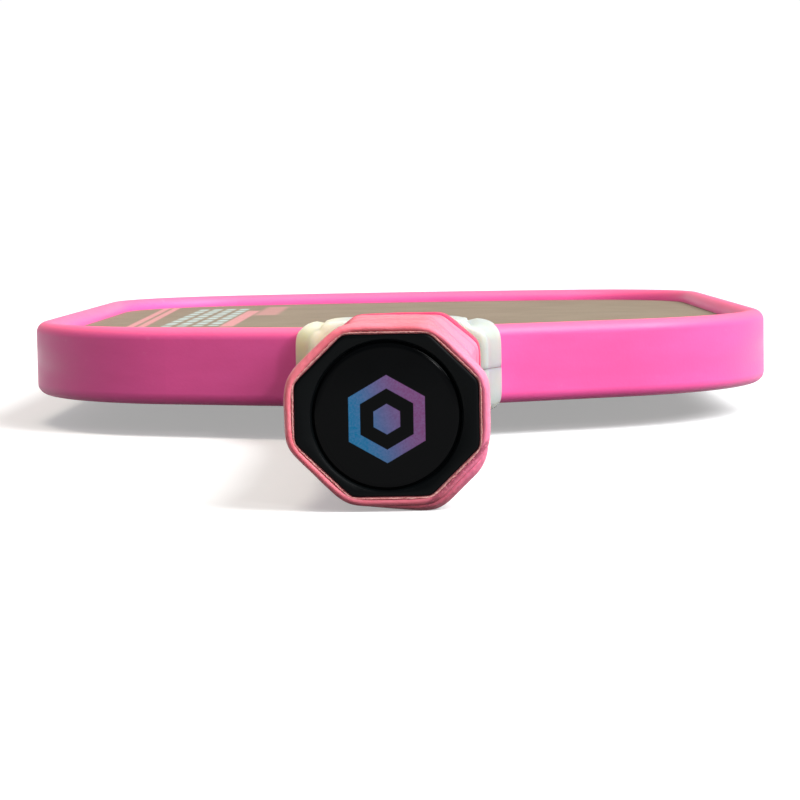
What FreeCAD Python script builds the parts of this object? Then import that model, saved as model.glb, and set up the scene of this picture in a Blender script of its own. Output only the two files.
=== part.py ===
"""Pickleball-style paddle racket: a honeycomb sandwich head in an edge guard, and a wrapped octagonal handle.

Every sub-part is drawn in one design frame: +Y runs from the butt (y = 0) to the tip of the head, z = 0 is
the middle of the panel and +Z is the front face. One shared placement then moves each sub-part so that the
origin of the finished part is the bottom centre of its box. All sizes are millimetres and degrees.
"""

import FreeCAD, Part

import math
import os

import Sketcher

Vector = FreeCAD.Vector
Placement = FreeCAD.Placement
Rotation = FreeCAD.Rotation

DIMENSIONS = {
    # overall
    "total_length": 412.0,
    "head_width": 194.0,
    "handle_length": 146.0,  # butt face to the shoulders of the head
    # head outline
    "throat_width": 47.0,
    "shoulder_angle": 22.5,
    "shoulder_radius": 65.0,
    "corner_radius": 47.0,
    "tip_radius": 323.0,
    # sandwich panel
    "core_thickness": 10.8,
    "film_thickness": 0.15,
    "face_thickness": 0.5,
    "foam_width": 7.0,
    "cell_pitch": 12.0,
    "cell_wall": 0.5,
    "tongue_lap": 6.0,  # how far the tongue's root runs past the foam into the head
    # edge guard
    "guard_thickness": 19.0,
    "guard_wall": 2.0,
    "guard_lip": 6.2,
    "guard_rounding": 2.8,
    "lip_rounding": 3.2,
    "lip_share": 0.94,  # the most of the lip's height that its rounding may take
    "guard_root": 3.5,  # what is left of the guard on each side of the throat
    "tape_thickness": 0.3,
    "tape_edge": 1.0,  # bare edge of the panel on each side of the tape
    # bare handle: an octagon, straight and then flared into the neck
    "handle_width": 29.5,
    "handle_height": 24.5,
    "handle_flat": 14.5,
    "handle_side": 9.0,
    "handle_cheek": 2.75,  # wall of the scales beside the tongue
    "flare_length": 40.0,
    "neck_width": 34.0,
    "neck_height": 21.6,
    "neck_flat": 21.0,
    "neck_side": 11.0,
    "neck_step": 0.5,  # step down from the neck to the collar's seat
    # throat collar
    "collar_reach": 18.0,  # shoulders of the head back to the end of the wraps
    "collar_gap": 0.5,
    "collar_taper": 8.5,
    "collar_wall": 1.6,
    "collar_over": 1.6,  # how far the wings stand proud of the guard
    "collar_wing": 1.3,
    "collar_mouth_width": 43.0,
    "collar_mouth_height": 20.4,
    "collar_cover": 11.0,  # how far the wings run over the head
    "collar_tongue": 22.0,  # how far the ridge runs over the face
    "collar_tip": 0.8,
    "collar_tip_width": 26.0,
    "collar_rounding": 5.5,
    "collar_edge": 1.0,
    # butt cap
    "cap_cheek": 1.9,
    "cap_crown": 2.4,
    "cap_flat": 15.6,
    "cap_side": 12.0,
    "cap_straight": 5.0,
    "cap_length": 22.0,
    "cap_skirt": 0.8,
    "cap_floor": 3.0,
    "cap_edge": 0.5,
    "badge_border": 1.45,
    "badge_groove": 0.35,
    "badge_dome": 0.7,
    "badge_seat": 1.2,
    # staples that hold the cap to the handle
    "staple_width": 11.0,
    "staple_wire": 0.8,
    "staple_place": 13.0,
    "staple_bed": 0.5,
    "staple_clear": 1.2,  # from a leg's tip to the tongue
    # wraps
    "wrap_start": 0.4,
    "wrap_settle": 6.0,  # past the cap's skirt, where the wraps lie on the handle again
    "grip_thickness": 1.6,
    "overgrip_thickness": 0.6,
    "finish_tape": 0.3,
    "finish_width": 10.0,
    # clearances
    "fit": 0.1,
}

doc = FreeCAD.newDocument("paddle_racket")
sheet = doc.addObject("Spreadsheet::Sheet", "dims")
for row, (alias, number) in enumerate(DIMENSIONS.items(), start=1):
    sheet.set(f"A{row}", alias)
    sheet.set(f"B{row}", str(number))
    sheet.setAlias(f"B{row}", alias)
doc.recompute()


class Size:
    """A size as a number and as the expression on the sheet that gives it, so both always agree."""

    def __init__(self, value, text):
        self.value = value
        self.text = text

    def _with(self, other, sign, value):
        text = other.text if isinstance(other, Size) else repr(float(other))
        return Size(value, f"({self.text} {sign} {text})")

    def __add__(self, other):
        return self._with(other, "+", self.value + number_of(other))

    def __sub__(self, other):
        return self._with(other, "-", self.value - number_of(other))

    def __mul__(self, other):
        return self._with(other, "*", self.value * number_of(other))

    def __truediv__(self, other):
        return self._with(other, "/", self.value / number_of(other))

    def __neg__(self):
        return Size(-self.value, f"(-1 * {self.text})")


def number_of(size):
    return size.value if isinstance(size, Size) else float(size)


def dim(alias):
    """The size that an alias names on the sheet."""
    return Size(sheet.get(alias), f"dims.{alias}")


def no_more_than(size, wall):
    """A rounding, kept to the wall that it is cut from."""
    return size if size.value < wall.value else wall


def bind(obj, prop, size):
    """Sets a property of obj to a size, through its expression when it has one."""
    if isinstance(size, Size):
        obj.setExpression(prop, size.text)
    else:
        setattr(obj, prop, size)


ZERO = Size(0.0, "0")
NEAR = 1e-3  # places closer together than this are the same place
SIDES = (("front", 1), ("back", -1))

# ---------------------------------------------------------------- derived sizes

half_panel_core = dim("core_thickness") / 2
half_film = half_panel_core + dim("film_thickness")
half_panel = half_film + dim("face_thickness")
panel_inset = dim("guard_wall") + dim("tape_thickness")
foam_inset = panel_inset + dim("foam_width")
guard_gap = dim("throat_width") - dim("guard_root") * 2
half_guard = dim("guard_thickness") / 2
lip_height = half_guard - half_panel
lip_rounding = no_more_than(dim("lip_rounding"), lip_height * dim("lip_share"))
tongue_width = dim("handle_width") - dim("handle_cheek") * 2
tongue_top = dim("handle_length") + foam_inset + dim("tongue_lap")
handle_end = dim("cap_floor") + dim("fit")
grip_end = dim("handle_length") - dim("collar_reach")
flare_start = grip_end - dim("flare_length")
collar_mouth = grip_end + dim("collar_gap")
cap_height = dim("handle_height") + dim("cap_crown") * 2
badge_radius = cap_height / 2 - dim("badge_border")
wrap = dim("grip_thickness") + dim("overgrip_thickness")
axis_height = cap_height / 2 + wrap
growth_of_bevel = 2 * math.tan(math.radians(22.5))  # how much a flat gains when an octagon grows by 1

# Octagonal sections: width, height, width of the top flat, height of the cheek.
HANDLE = (dim("handle_width"), dim("handle_height"), dim("handle_flat"), dim("handle_side"))
NECK = (dim("neck_width"), dim("neck_height"), dim("neck_flat"), dim("neck_side"))
CAP = (dim("handle_width") + dim("cap_cheek") * 2, cap_height, dim("cap_flat"), dim("cap_side"))


# ---------------------------------------------------------------- sketch helpers


def new_sketch(name, y=None):
    """A sketch on the z = 0 plane, or, with y, across the handle there: sketch x is X and sketch y is Z."""
    sketch = doc.addObject("Sketcher::SketchObject", name)
    if y is not None:
        sketch.Placement = Placement(Vector(0, number_of(y), 0), Rotation(Vector(1, 0, 0), 90))
        bind(sketch, "Placement.Base.y", y)
    return sketch


def size_constraint(sketch, kind, places, size):
    if kind == "Angle":
        size = Size(math.radians(size.value), f"({size.text}) * 1 deg")
    index = sketch.addConstraint(Sketcher.Constraint(kind, *places, size.value))
    sketch.setExpression(f"Constraints[{index}]", size.text)


def rule(sketch, kind, *places):
    sketch.addConstraint(Sketcher.Constraint(kind, *places))


START, END, CENTRE = 1, 2, 3
ORIGIN, H_AXIS, V_AXIS = (-1, 1), -1, -2


def line(sketch, a, b):
    return sketch.addGeometry(Part.LineSegment(Vector(a[0], a[1], 0), Vector(b[0], b[1], 0)), False)


def arc(sketch, centre, radius, start_degrees, end_degrees):
    circle = Part.Circle(Vector(centre[0], centre[1], 0), Vector(0, 0, 1), radius)
    return sketch.addGeometry(
        Part.ArcOfCircle(circle, math.radians(start_degrees), math.radians(end_degrees)), False
    )


def closed_chain(sketch, points):
    """Straight sides from each point to the next and back to the first."""
    sides = [line(sketch, a, b) for a, b in zip(points, points[1:] + points[:1])]
    for before, after in zip(sides, sides[1:] + sides[:1]):
        rule(sketch, "Coincident", before, END, after, START)
    return sides


def tangent_of_half(angle):
    value = math.tan(math.radians(angle.value) / 2)
    return Size(value, f"tan({angle.text} / 2 * 1 deg)")


def head_outline(name, inset):
    """The head's outline, moved inwards by inset: throat, shoulders, lower corners, sides and crowned tip."""
    sketch = new_sketch(name)
    throat_size = dim("throat_width") / 2 - tangent_of_half(dim("shoulder_angle")) * inset
    half_size = dim("head_width") / 2 - inset
    base_size = dim("handle_length") + inset
    low_size = dim("shoulder_radius") - inset
    high_size = dim("corner_radius") - inset
    tip_size = dim("tip_radius") - inset
    tip_y_size = dim("total_length") - dim("tip_radius")
    throat, half, base = throat_size.value, half_size.value, base_size.value
    low, high, tip, tip_y = low_size.value, high_size.value, tip_size.value, tip_y_size.value
    slope = dim("shoulder_angle").value
    low_y = base + (half - throat) * math.tan(math.radians(slope))
    low_y += low * math.tan(math.radians(90 - slope) / 2)
    high_y = tip_y + math.sqrt((tip - high) ** 2 - (half - high) ** 2)
    turn = math.degrees(math.atan2(high_y - tip_y, half - high))
    low_x = half - low + low * math.sin(math.radians(slope))
    low_start = (low_x, low_y - low * math.cos(math.radians(slope)))
    bottom = line(sketch, (-throat, base), (throat, base))
    right_shoulder = line(sketch, (throat, base), low_start)
    right_low = arc(sketch, (half - low, low_y), low, slope - 90, 0)
    right_side = line(sketch, (half, low_y), (half, high_y))
    right_high = arc(sketch, (half - high, high_y), high, 0, turn)
    crown = arc(sketch, (0, tip_y), tip, turn, 180 - turn)
    left_high = arc(sketch, (high - half, high_y), high, 180 - turn, 180)
    left_side = line(sketch, (-half, high_y), (-half, low_y))
    left_low = arc(sketch, (low - half, low_y), low, 180, 270 - slope)
    left_shoulder = line(sketch, (-low_start[0], low_start[1]), (-throat, base))
    rule(sketch, "Coincident", bottom, END, right_shoulder, START)
    rule(sketch, "Coincident", left_shoulder, END, bottom, START)
    chain = [right_shoulder, right_low, right_side, right_high, crown]
    chain += [left_high, left_side, left_low, left_shoulder]
    for before, after in zip(chain, chain[1:]):
        rule(sketch, "Tangent", before, END, after, START)
    rule(sketch, "Vertical", right_side)
    rule(sketch, "Vertical", left_side)
    rule(sketch, "Equal", right_low, left_low)
    rule(sketch, "Equal", right_high, left_high)
    rule(sketch, "PointOnObject", crown, CENTRE, V_AXIS)
    rule(sketch, "Symmetric", bottom, START, bottom, END, V_AXIS)
    size_constraint(sketch, "DistanceX", (bottom, START, bottom, END), throat_size * 2)
    size_constraint(sketch, "DistanceY", (*ORIGIN, bottom, START), base_size)
    size_constraint(sketch, "DistanceX", (*ORIGIN, right_side, START), half_size)
    size_constraint(sketch, "DistanceX", (left_side, START, *ORIGIN), half_size)
    size_constraint(sketch, "Radius", (right_low,), low_size)
    size_constraint(sketch, "Radius", (right_high,), high_size)
    size_constraint(sketch, "Radius", (crown,), tip_size)
    size_constraint(sketch, "DistanceY", (*ORIGIN, crown, CENTRE), tip_y_size)
    size_constraint(sketch, "Angle", (right_shoulder,), dim("shoulder_angle"))
    size_constraint(sketch, "Angle", (left_shoulder,), -dim("shoulder_angle"))
    return sketch


def tongue_outline():
    """The panel's root: a straight tongue through the handle that flares to fill the gap in the guard."""
    sketch = new_sketch("tongue_outline")
    half, root = tongue_width.value / 2, guard_gap.value / 2
    start, flare = handle_end.value, grip_end.value
    shoulder, top = dim("handle_length").value, tongue_top.value
    points = [(-half, start), (half, start), (half, flare), (root, shoulder), (root, top)]
    points += [(-root, top), (-root, shoulder), (-half, flare)]
    sides = closed_chain(sketch, points)
    for side in (1, 3):
        rule(sketch, "Vertical", sides[side])
    rule(sketch, "Symmetric", sides[0], END, sides[7], END, V_AXIS)
    for right, left in ((1, 6), (2, 5), (3, 4)):
        rule(sketch, "Symmetric", sides[right], END, sides[left], END, V_AXIS)
    size_constraint(sketch, "DistanceX", (sides[0], START, sides[0], END), tongue_width)
    size_constraint(sketch, "DistanceX", (sides[4], END, sides[4], START), guard_gap)
    size_constraint(sketch, "DistanceY", (*ORIGIN, sides[0], END), handle_end)
    size_constraint(sketch, "DistanceY", (*ORIGIN, sides[1], END), grip_end)
    size_constraint(sketch, "DistanceY", (*ORIGIN, sides[2], END), dim("handle_length"))
    size_constraint(sketch, "DistanceY", (*ORIGIN, sides[3], END), tongue_top)
    return sketch


def octagon(name, y, section, growth=0.0):
    """An octagonal section across the handle, grown outwards all round by growth."""
    width, height = (size + growth * 2 for size in section[:2])
    flat, side = (size + growth * growth_of_bevel for size in section[2:])
    sketch = new_sketch(name, y)
    a, b, c, d = (size.value / 2 for size in (width, height, flat, side))
    sides = closed_chain(sketch, [(-c, -b), (c, -b), (a, -d), (a, d), (c, b), (-c, b), (-a, d), (-a, -d)])
    for level in (0, 4):
        rule(sketch, "Symmetric", sides[level], START, sides[level], END, V_AXIS)
    for upright in (2, 6):
        rule(sketch, "Symmetric", sides[upright], START, sides[upright], END, H_AXIS)
    size_constraint(sketch, "DistanceX", (sides[0], START, sides[0], END), flat)
    size_constraint(sketch, "DistanceX", (sides[4], END, sides[4], START), flat)
    size_constraint(sketch, "DistanceY", (sides[2], START, sides[2], END), side)
    size_constraint(sketch, "DistanceY", (sides[6], END, sides[6], START), side)
    size_constraint(sketch, "DistanceX", (*ORIGIN, sides[2], START), width / 2)
    size_constraint(sketch, "DistanceX", (sides[6], START, *ORIGIN), width / 2)
    size_constraint(sketch, "DistanceY", (*ORIGIN, sides[4], START), height / 2)
    size_constraint(sketch, "DistanceY", (sides[0], START, *ORIGIN), height / 2)
    return sketch


def rounded_box(name, y, width, height, radius):
    """A rectangle with round corners across the handle, for the throat collar's sections."""
    sketch = new_sketch(name, y)
    a, b, r = number_of(width) / 2, number_of(height) / 2, number_of(radius)
    bottom = line(sketch, (r - a, -b), (a - r, -b))
    corner_1 = arc(sketch, (a - r, r - b), r, -90, 0)
    right = line(sketch, (a, r - b), (a, b - r))
    corner_2 = arc(sketch, (a - r, b - r), r, 0, 90)
    top = line(sketch, (a - r, b), (r - a, b))
    corner_3 = arc(sketch, (r - a, b - r), r, 90, 180)
    left = line(sketch, (-a, b - r), (-a, r - b))
    corner_4 = arc(sketch, (r - a, r - b), r, 180, 270)
    ring = [bottom, corner_1, right, corner_2, top, corner_3, left, corner_4]
    for before, after in zip(ring, ring[1:] + ring[:1]):
        rule(sketch, "Tangent", before, END, after, START)
    for other in (corner_2, corner_3, corner_4):
        rule(sketch, "Equal", corner_1, other)
    for level in (bottom, top):
        rule(sketch, "Horizontal", level)
    for upright in (left, right):
        rule(sketch, "Vertical", upright)
    size_constraint(sketch, "Radius", (corner_1,), radius)
    size_constraint(sketch, "DistanceX", (*ORIGIN, right, START), width / 2)
    size_constraint(sketch, "DistanceX", (left, START, *ORIGIN), width / 2)
    size_constraint(sketch, "DistanceY", (*ORIGIN, top, START), height / 2)
    size_constraint(sketch, "DistanceY", (bottom, START, *ORIGIN), height / 2)
    return sketch


# ---------------------------------------------------------------- solid helpers


def extrusion(name, sketch, low, high):
    """A solid on a sketch of the z = 0 plane, from z = low to z = high."""
    solid = doc.addObject("Part::Extrusion", name)
    solid.Base = sketch
    solid.DirMode = "Custom"
    solid.Dir = Vector(0, 0, 1)
    solid.Solid = True
    solid.FaceMakerClass = "Part::FaceMakerBullseye"
    bind(solid, "LengthFwd", high)
    bind(solid, "LengthRev", -low)
    return solid


def plate(name, sketch, half_thickness):
    return extrusion(name, sketch, -half_thickness, half_thickness)


def loft(name, sections):
    solid = doc.addObject("Part::Loft", name)
    solid.Sections = sections
    solid.Solid = True
    solid.Ruled = True
    return solid


def cut(name, base, *tools):
    for count, tool in enumerate(tools, start=1):
        result = doc.addObject("Part::Cut", name if count == len(tools) else f"{name}_step_{count}")
        result.Base = base
        result.Tool = tool
        base = result
    return base


def fuse(name, *pieces):
    result = doc.addObject("Part::MultiFuse", name)
    result.Shapes = list(pieces)
    result.Refine = True
    return result


def common(name, *pieces):
    result = doc.addObject("Part::MultiCommon", name)
    result.Shapes = list(pieces)
    return result


def box(name, low, high):
    """A box from its lowest to its highest corner."""
    result = doc.addObject("Part::Box", name)
    for prop, axis, start, end in zip(("Length", "Width", "Height"), "xyz", low, high):
        bind(result, prop, end - start)
        bind(result, f"Placement.Base.{axis}", start)
    return result


def round_rings(name, base, places, radius):
    """Rounds the edges of base that lie all round it at given places along the handle."""
    doc.recompute()
    rings = []
    for number, edge in enumerate(base.Shape.Edges, start=1):
        y = edge.BoundBox.YMin
        if edge.BoundBox.YLength < NEAR and any(abs(y - place.value) < NEAR for place in places):
            rings.append((number, radius.value, radius.value))
    result = doc.addObject("Part::Fillet", name)
    result.Base = base
    result.Edges = rings
    return result


FINAL = {}


def finish(name, solid):
    """Names a finished sub-part and moves it from the design frame into the part's own frame."""
    doc.recompute()
    solid.Label = name
    bind(solid, "Placement.Base.y", -dim("total_length") / 2)
    bind(solid, "Placement.Base.z", axis_height)
    FINAL[name] = solid


# ---------------------------------------------------------------- edge guard and its tape

outer_outline = head_outline("outer_outline", ZERO)
lip_outline = head_outline("lip_outline", dim("guard_lip"))
channel_outline = head_outline("channel_outline", dim("guard_wall"))
panel_outline = head_outline("panel_outline", panel_inset)
foam_outline = head_outline("foam_outline", foam_inset)
tongue_sketch = tongue_outline()


def throat_box(name):
    """The space between the guard's two ends."""
    reach = dim("guard_lip") + dim("guard_wall")
    low = (-guard_gap / 2, dim("handle_length") - dim("guard_wall"), -dim("guard_thickness"))
    high = (guard_gap / 2, dim("handle_length") + reach, dim("guard_thickness"))
    return box(name, low, high)


def rounded_guard():
    """The guard before its channel is cut: a split frame with its rims rounded."""
    block = plate("guard_block", outer_outline, half_guard)
    window = plate("guard_window", lip_outline, half_guard * 2)
    frame = cut("guard_frame", block, window, throat_box("guard_throat"))
    doc.recompute()
    outer, lip, rim_z = dim("guard_rounding").value, lip_rounding.value, half_guard.value
    rims = []
    for number, edge in enumerate(frame.Shape.Edges, start=1):
        middle = edge.valueAt((edge.FirstParameter + edge.LastParameter) / 2)
        ends = [vertex.Point for vertex in edge.Vertexes] + [middle]
        if any(abs(abs(point.z) - rim_z) > NEAR for point in ends):
            continue
        spot = Part.Vertex(middle.x, middle.y, 0)
        if spot.distToShape(outer_outline.Shape)[0] < NEAR:
            rims.append((number, outer, outer))
        elif spot.distToShape(lip_outline.Shape)[0] < NEAR:
            rims.append((number, lip, lip))
    rounded = doc.addObject("Part::Fillet", "guard_rounded")
    rounded.Base = frame
    rounded.Edges = rims
    return rounded


guard_space = rounded_guard()
guard_channel = plate("guard_channel", channel_outline, half_panel)
finish("edge_guard", cut("edge_guard", guard_space, guard_channel))

half_tape = half_panel - dim("tape_edge")
tape_outer = plate("tape_outer", channel_outline, half_tape)
tape_inner = plate("tape_inner", panel_outline, half_panel)
finish("guard_bond_tape", cut("guard_bond_tape", tape_outer, tape_inner, throat_box("tape_throat")))

# ---------------------------------------------------------------- sandwich panel


def panel_layer(name, outline, low, high):
    """One layer of the panel: the head inside an outline, and the tongue."""
    head = extrusion(f"{name}_head", outline, low, high)
    tongue = extrusion(f"{name}_tongue", tongue_sketch, low, high)
    return fuse(name, head, tongue)


def hexagon_wire(centre_x, centre_y, radius, z):
    corners = []
    for step in range(6):
        angle = math.radians(60 * step + 30)
        corners.append(Vector(centre_x + radius * math.cos(angle), centre_y + radius * math.sin(angle), z))
    return Part.makePolygon(corners + corners[:1])


def honeycomb(blank):
    """The core: open hexagonal cells all through the blank, wherever a whole cell fits."""
    pitch, wall = dim("cell_pitch").value, dim("cell_wall").value
    thickness = dim("core_thickness").value
    radius = (pitch - wall) / math.sqrt(3)
    top = max(blank.Shape.Faces, key=lambda face: (face.CenterOfMass.z, face.Area))
    rim = top.OuterWire
    area = Part.Face(rim)
    bounds = area.BoundBox
    holes = []
    row_step = pitch * math.sqrt(3) / 2
    for row_number in range(int((bounds.YMax - bounds.YMin) / row_step) + 1):
        y = bounds.YMin + row_number * row_step
        shift = pitch / 2 if row_number % 2 else 0.0
        columns = int(bounds.XMax / pitch) + 1
        for column in range(-columns - 1, columns + 1):
            x = column * pitch + shift
            centre = Vector(x, y, bounds.ZMax)
            if not area.isInside(centre, NEAR, False):
                continue
            if Part.Vertex(centre).distToShape(rim)[0] > radius + wall:
                holes.append(hexagon_wire(x, y, radius, bounds.ZMax))
    core = doc.addObject("Part::Feature", "honeycomb_core")
    layer = Part.makeFace([rim] + holes, "Part::FaceMakerBullseye")
    core.Shape = layer.extrude(Vector(0, 0, -thickness))
    return core


core_blank = panel_layer("core_blank", foam_outline, -half_panel_core, half_panel_core)
doc.recompute()
finish("honeycomb_core", honeycomb(core_blank))

foam_outer = plate("foam_outer", panel_outline, half_panel_core)
foam_inner = plate("foam_inner", foam_outline, half_panel)
foam_root = plate("foam_root", tongue_sketch, half_panel)
finish("perimeter_foam", cut("perimeter_foam", foam_outer, foam_inner, foam_root))

for side, sign in SIDES:
    levels = [size * sign for size in (half_panel_core, half_film, half_panel)]
    film = sorted(levels[:2], key=number_of)
    sheet_levels = sorted(levels[1:], key=number_of)
    finish(f"{side}_adhesive_film", panel_layer(f"{side}_adhesive_film", panel_outline, *film))
    finish(f"{side}_face_sheet", panel_layer(f"{side}_face_sheet", panel_outline, *sheet_levels))

# ---------------------------------------------------------------- handle scales

neck_drop = dim("neck_step") * 2
SEAT = (NECK[0] - neck_drop, NECK[1] - neck_drop, dim("neck_flat"), dim("neck_side"))
shaft = loft(
    "handle_shaft",
    [
        octagon("shaft_end", handle_end, HANDLE),
        octagon("shaft_flare", flare_start, HANDLE),
        octagon("shaft_neck", grip_end, NECK),
    ],
)
seat = loft(
    "collar_seat",
    [octagon("seat_low", grip_end, SEAT), octagon("seat_high", dim("handle_length"), SEAT)],
)
handle_solid = fuse("handle_solid", shaft, seat)


def half_space(name, sign):
    """Everything on the front (sign 1) or the back (sign -1) of the middle plane."""
    reach = dim("total_length")
    low = (-reach, -reach, ZERO if sign > 0 else -reach)
    high = (reach, reach, reach if sign > 0 else ZERO)
    return box(name, low, high)


def staple(name, sign):
    """One staple: a crown sunk in the cap's wall and two legs that run on into the scale."""
    crown_low = dim("handle_height") / 2 + dim("fit") + dim("staple_bed")
    crown_high = crown_low + dim("staple_wire")
    tip = half_panel + dim("staple_clear")
    y_low = dim("staple_place") - dim("staple_wire") / 2
    y_high = dim("staple_place") + dim("staple_wire") / 2
    half = dim("staple_width") / 2
    wire = dim("staple_wire")
    spans = [("crown", -half, half, crown_low)]
    spans += [("left", -half, wire - half, tip), ("right", half - wire, half, tip)]
    bars = []
    for bar, x_low, x_high, foot in spans:
        levels = sorted((foot * sign, crown_high * sign), key=number_of)
        bars.append(box(f"{name}_{bar}", (x_low, y_low, levels[0]), (x_high, y_high, levels[1])))
    return fuse(name, *bars)


staples = {side: staple(f"{side}_staple_form", sign) for side, sign in SIDES}
tongue_space = plate("tongue_space", tongue_sketch, half_panel)
for side, sign in SIDES:
    half = common(f"{side}_handle_half", handle_solid, half_space(f"{side}_handle_space", sign))
    scale = cut(f"handle_scale_{side}", half, tongue_space, staples[side])
    finish(f"handle_scale_{side}", scale)

# ---------------------------------------------------------------- throat collar

ridge_width, ridge_height = (size + dim("collar_wall") * 2 for size in SEAT[:2])
wings_end = dim("handle_length") + dim("collar_cover")
wing_width = dim("throat_width") + dim("collar_wing") * 2
wing_height = dim("guard_thickness") + dim("collar_over") * 2
rounding = dim("collar_rounding")
mouth_width, mouth_height = dim("collar_mouth_width"), dim("collar_mouth_height")
wings_form = loft(
    "collar_wings",
    [
        rounded_box("wings_mouth", collar_mouth, mouth_width, mouth_height, rounding),
        rounded_box("wings_shoulder", collar_mouth + dim("collar_taper"), wing_width, wing_height, rounding),
        rounded_box("wings_end", wings_end, wing_width, wing_height, rounding),
    ],
)
tip_height = (half_panel + dim("collar_tip")) * 2
ridge_end = dim("handle_length") + dim("collar_tongue")
ridge_form = loft(
    "collar_ridge",
    [
        rounded_box("ridge_mouth", collar_mouth, ridge_width, ridge_height, rounding),
        rounded_box("ridge_shoulder", dim("handle_length"), ridge_width, ridge_height, rounding),
        rounded_box("ridge_tip", ridge_end, dim("collar_tip_width"), tip_height, rounding),
    ],
)
wings = round_rings("wings_rounded", wings_form, (collar_mouth, wings_end), dim("collar_edge"))
ridge = round_rings("ridge_rounded", ridge_form, (collar_mouth,), dim("collar_edge"))
collar_form = fuse("collar_form", wings, ridge)
panel_space = plate("panel_space", panel_outline, half_panel)
for side, sign in SIDES:
    half = common(f"{side}_collar_half", collar_form, half_space(f"{side}_collar_space", sign))
    shell = cut(f"throat_collar_{side}", half, guard_space, panel_space, tongue_space, seat)
    finish(f"throat_collar_{side}", shell)

# ---------------------------------------------------------------- butt cap and badge

SETTLED = dim("cap_length") + dim("wrap_settle")
cap_form = loft(
    "cap_form",
    [
        octagon("cap_face", ZERO, CAP),
        octagon("cap_straight_end", dim("cap_straight"), CAP),
        octagon("cap_skirt_end", dim("cap_length"), HANDLE, dim("cap_skirt")),
    ],
)
cap_cavity = loft(
    "cap_cavity",
    [
        octagon("cavity_floor", dim("cap_floor"), HANDLE, dim("fit")),
        octagon("cavity_mouth", dim("cap_length") + dim("cap_floor"), HANDLE, dim("fit")),
    ],
)


def badge_recess():
    """The round seat for the badge, cut from beyond the butt face to its floor."""
    recess = doc.addObject("Part::Cylinder", "badge_recess")
    recess.Placement = Placement(Vector(0, 0, 0), Rotation(Vector(1, 0, 0), -90))
    bind(recess, "Radius", badge_radius + dim("badge_groove"))
    bind(recess, "Height", dim("badge_seat") * 2)
    bind(recess, "Placement.Base.y", -dim("badge_seat"))
    return recess


def badge():
    """A round badge whose domed face just reaches the butt face at its middle."""
    sketch = new_sketch("badge_profile")
    radius, dome, seat_y = badge_radius.value, dim("badge_dome").value, dim("badge_seat").value
    dome_size = badge_radius * badge_radius / (dim("badge_dome") * 2) + dim("badge_dome") / 2
    turn = math.degrees(math.asin(radius / dome_size.value))
    face = arc(sketch, (0, dome_size.value), dome_size.value, 270, 270 + turn)
    rim = line(sketch, (radius, dome), (radius, seat_y))
    back = line(sketch, (radius, seat_y), (0, seat_y))
    axis = line(sketch, (0, seat_y), (0, 0))
    rule(sketch, "Coincident", face, END, rim, START)
    rule(sketch, "Coincident", rim, END, back, START)
    rule(sketch, "Coincident", back, END, axis, START)
    rule(sketch, "Coincident", axis, END, face, START)
    rule(sketch, "Coincident", axis, END, *ORIGIN)
    rule(sketch, "Vertical", rim)
    rule(sketch, "Horizontal", back)
    rule(sketch, "Vertical", axis)
    rule(sketch, "PointOnObject", face, CENTRE, V_AXIS)
    size_constraint(sketch, "DistanceX", (*ORIGIN, rim, START), badge_radius)
    size_constraint(sketch, "DistanceY", (*ORIGIN, rim, START), dim("badge_dome"))
    size_constraint(sketch, "DistanceY", (*ORIGIN, axis, START), dim("badge_seat"))
    disc = doc.addObject("Part::Revolution", "butt_badge")
    disc.Source = sketch
    disc.Axis = Vector(0, 1, 0)
    disc.Angle = 360
    disc.Solid = True
    return disc


cap_rounded = round_rings("cap_rounded", cap_form, (ZERO,), dim("cap_edge"))
butt_cap = cut("butt_cap", cap_rounded, cap_cavity, badge_recess(), staples["front"], staples["back"])
finish("butt_cap", butt_cap)
finish("butt_badge", badge())
for side, sign in SIDES:
    finish(f"cap_staple_{side}", staple(f"cap_staple_{side}", sign))

# ---------------------------------------------------------------- wraps


def between(first, second, share):
    """An octagonal section part of the way from one to the other."""
    return tuple(a + (b - a) * share for a, b in zip(first, second))


def wrap_form(name, growth):
    """The solid that a wrap's outside bounds, grown outwards from the cap and the handle."""
    return loft(
        name,
        [
            octagon(f"{name}_butt", dim("wrap_start"), CAP, growth),
            octagon(f"{name}_cap", dim("cap_straight"), CAP, growth),
            octagon(f"{name}_skirt", dim("cap_length"), HANDLE, growth + dim("cap_skirt")),
            octagon(f"{name}_settled", SETTLED, HANDLE, growth),
            octagon(f"{name}_flare", flare_start, HANDLE, growth),
            octagon(f"{name}_top", grip_end, NECK, growth),
        ],
    )


base_grip_form = wrap_form("base_grip_form", dim("grip_thickness"))
overgrip_form = wrap_form("overgrip_form", wrap)
finish("base_grip", cut("base_grip", base_grip_form, cap_form, shaft))
finish("overgrip", cut("overgrip", overgrip_form, base_grip_form))

tape_growth = wrap + dim("finish_tape")
tape_share = (dim("flare_length") - dim("finish_width")) / dim("flare_length")
finish_form = loft(
    "finish_form",
    [
        octagon("finish_low", grip_end - dim("finish_width"), between(HANDLE, NECK, tape_share), tape_growth),
        octagon("finish_high", grip_end, NECK, tape_growth),
    ],
)
finish("finishing_tape", cut("finishing_tape", finish_form, overgrip_form))

# ---------------------------------------------------------------- checks and files

doc.recompute()
for item in doc.Objects:
    faults = {"Invalid", "Error"} & set(item.State)
    if faults:
        raise RuntimeError(f"{item.Name} is {', '.join(faults)}")
for name, item in FINAL.items():
    shape = item.Shape
    if shape.isNull() or not shape.isValid() or not shape.Solids or shape.Volume <= 0:
        raise RuntimeError(f"{name} has no sound solid")

os.makedirs("parts", exist_ok=True)
for name, item in FINAL.items():
    item.Shape.exportStep(f"parts/{name}.step")
    print(f"{name}: {len(item.Shape.Solids)} solid, {item.Shape.Volume / 1000:.2f} cm3")
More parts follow.
